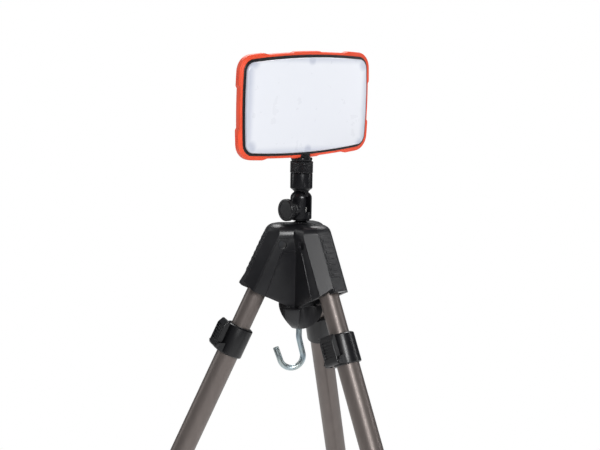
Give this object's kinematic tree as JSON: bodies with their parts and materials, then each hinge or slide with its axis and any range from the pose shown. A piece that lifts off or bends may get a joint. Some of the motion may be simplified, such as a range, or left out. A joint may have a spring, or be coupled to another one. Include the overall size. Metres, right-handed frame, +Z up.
{
  "type": "work light",
  "caption": "Rechargeable LED panel work light with a bumper frame on a tilting, turning head over a folding telescopic tripod with flip locks and a weight hook.",
  "frame": {"origin": "on the ground under the centre of the bounding box; the tripod's axis is the vertical line x = 0, y = 0.0762 m", "axes": "+Z up along the tripod's axis; -Y is the way the lamp faces and the front leg points; the tilt axis runs along X, with the clamp knob on the -X side"},
  "size_m": [0.5584, 0.4878, 0.8194],
  "materials": {
    "hub_plastic": "fine satin texture",
    "black_plastic": "satin",
    "black_anodised": "black anodised, semi-gloss",
    "tube_bronze": "satin bronze-grey anodised",
    "zinc_steel": "bright zinc plated",
    "dark_steel": "blackened",
    "guide_plastic": "natural",
    "foot_rubber": "matt",
    "orange_rubber": "soft satin",
    "gasket_rubber": "soft satin",
    "milky_lens": "frosted, translucent",
    "white_plastic": "matt white",
    "circuit_board": "solder mask",
    "led_phosphor": "matt",
    "bare_aluminium": "rolled",
    "cell_wrap": "shrink film over metal",
    "brass": "turned"
  },
  "bodies": {
    "hub": {"hub_shell": "hub_plastic", "hub_core": "hub_plastic", "leg_pivot_pins": "dark_steel", "hub_screws": "dark_steel", "stud_washer": "black_plastic", "fork_stud": "zinc_steel"},
    "hook": {"weight_hook": "zinc_steel", "hook_nut": "zinc_steel"},
    "front_upper_leg": {"front_leg_knuckle": "black_plastic", "front_upper_tube": "tube_bronze", "front_slide_bush": "guide_plastic"},
    "front_lower_leg": {"front_lower_tube": "tube_bronze", "front_lock_collar": "black_plastic", "front_lever_pin": "dark_steel", "front_foot": "foot_rubber"},
    "front_lever": {"front_lock_lever": "black_plastic"},
    "left_upper_leg": {"left_leg_knuckle": "black_plastic", "left_upper_tube": "tube_bronze", "left_slide_bush": "guide_plastic"},
    "left_lower_leg": {"left_lower_tube": "tube_bronze", "left_lock_collar": "black_plastic", "left_lever_pin": "dark_steel", "left_foot": "foot_rubber"},
    "left_lever": {"left_lock_lever": "black_plastic"},
    "right_upper_leg": {"right_leg_knuckle": "black_plastic", "right_upper_tube": "tube_bronze", "right_slide_bush": "guide_plastic"},
    "right_lower_leg": {"right_lower_tube": "tube_bronze", "right_lock_collar": "black_plastic", "right_lever_pin": "dark_steel", "right_foot": "foot_rubber"},
    "right_lever": {"right_lock_lever": "black_plastic"},
    "fork": {"tilt_fork": "black_anodised", "clamp_nut": "dark_steel", "friction_washers": "guide_plastic"},
    "knob": {"clamp_knob": "black_plastic", "clamp_bolt": "zinc_steel"},
    "barrel": {"swivel_barrel": "black_anodised", "seat_disc": "black_anodised", "mount_stud": "zinc_steel"},
    "ring": {"knurled_nut": "black_anodised"},
    "lamp": {"stud_socket": "brass", "diffuser_lens": "milky_lens", "lens_gasket": "gasket_rubber", "bumper_frame": "orange_rubber", "rear_housing": "black_plastic", "reflector_tray": "white_plastic", "led_board": "circuit_board", "led_chips": "led_phosphor", "heat_spreader": "bare_aluminium", "battery_cells": "cell_wrap", "battery_cradle": "black_plastic", "control_board": "circuit_board", "charge_port": "zinc_steel", "housing_screws": "dark_steel"},
    "button": {"power_button": "gasket_rubber"},
    "flap": {"port_cover": "gasket_rubber"}
  },
  "joints": [
    {"name": "front_leg_fold", "type": "hinge", "parent": "hub", "child": "front_upper_leg", "pos_m": [0, 0.05251, 0.6062], "axis": [1, 0, 0], "range_deg": [0, 24.7]},
    {"name": "front_leg_slide", "type": "slide", "parent": "front_upper_leg", "child": "front_lower_leg", "axis": [0, -0.4179, -0.9085], "range_m": [0, 0.38]},
    {"name": "front_lever_hinge", "type": "hinge", "parent": "front_lower_leg", "child": "front_lever", "pos_m": [-0.0196, -0.00245, 0.48673], "axis": [0, -0.9085, 0.4179], "range_deg": [0, 100]},
    {"name": "left_leg_fold", "type": "hinge", "parent": "hub", "child": "left_upper_leg", "pos_m": [-0.02055, 0.0881, 0.6062], "axis": [-0.5, -0.866, 0], "range_deg": [0, 11]},
    {"name": "left_leg_slide", "type": "slide", "parent": "left_upper_leg", "child": "left_lower_leg", "axis": [-0.3619, 0.2089, -0.9085], "range_m": [0, 0.38]},
    {"name": "left_lever_hinge", "type": "hinge", "parent": "left_lower_leg", "child": "left_lever", "pos_m": [-0.08503, 0.12139, 0.49479], "axis": [-0.3558, -0.9317, -0.0726], "range_deg": [0, 100]},
    {"name": "right_leg_fold", "type": "hinge", "parent": "hub", "child": "right_upper_leg", "pos_m": [0.02055, 0.0881, 0.6062], "axis": [-0.5, 0.866, 0], "range_deg": [0, 24.7]},
    {"name": "right_leg_slide", "type": "slide", "parent": "right_upper_leg", "child": "right_lower_leg", "axis": [0.3619, 0.2089, -0.9085], "range_m": [0, 0.38]},
    {"name": "right_lever_hinge", "type": "hinge", "parent": "right_lower_leg", "child": "right_lever", "pos_m": [0.08503, 0.12139, 0.49479], "axis": [-0.3558, 0.9317, 0.0726], "range_deg": [0, 100]},
    {"name": "hook_swivel", "type": "hinge", "parent": "hub", "child": "hook", "pos_m": [0, 0.07623, 0.53], "axis": [0, 0, 1], "continuous": true},
    {"name": "head_turn", "type": "hinge", "parent": "hub", "child": "fork", "pos_m": [0, 0.07623, 0.628], "axis": [0, 0, 1], "continuous": true},
    {"name": "knob_turn", "type": "hinge", "parent": "fork", "child": "knob", "pos_m": [-0.016, 0.07623, 0.6438], "axis": [-1, 0, 0], "range_deg": [0, 360]},
    {"name": "head_tilt", "type": "hinge", "parent": "fork", "child": "barrel", "pos_m": [0, 0.07623, 0.6438], "axis": [1, 0, 0], "range_deg": [-70, 70]},
    {"name": "ring_turn", "type": "hinge", "parent": "barrel", "child": "ring", "pos_m": [0, 0.07623, 0.6907], "axis": [0, 0, 1], "continuous": true},
    {"name": "lamp_turn", "type": "hinge", "parent": "barrel", "child": "lamp", "pos_m": [0, 0.07623, 0.7014], "axis": [0, 0, 1], "range_deg": [-35, 35]},
    {"name": "button_press", "type": "slide", "parent": "lamp", "child": "button", "axis": [0, -0.9982, -0.0593], "range_m": [0, 0.0012], "stiffness_N_per_m": 450, "springref_m": -0.001},
    {"name": "flap_hinge", "type": "hinge", "parent": "lamp", "child": "flap", "pos_m": [0.03433, 0.09677, 0.74685], "axis": [0.9993, -0.0023, 0.0383], "range_deg": [0, 100]}
  ]
}
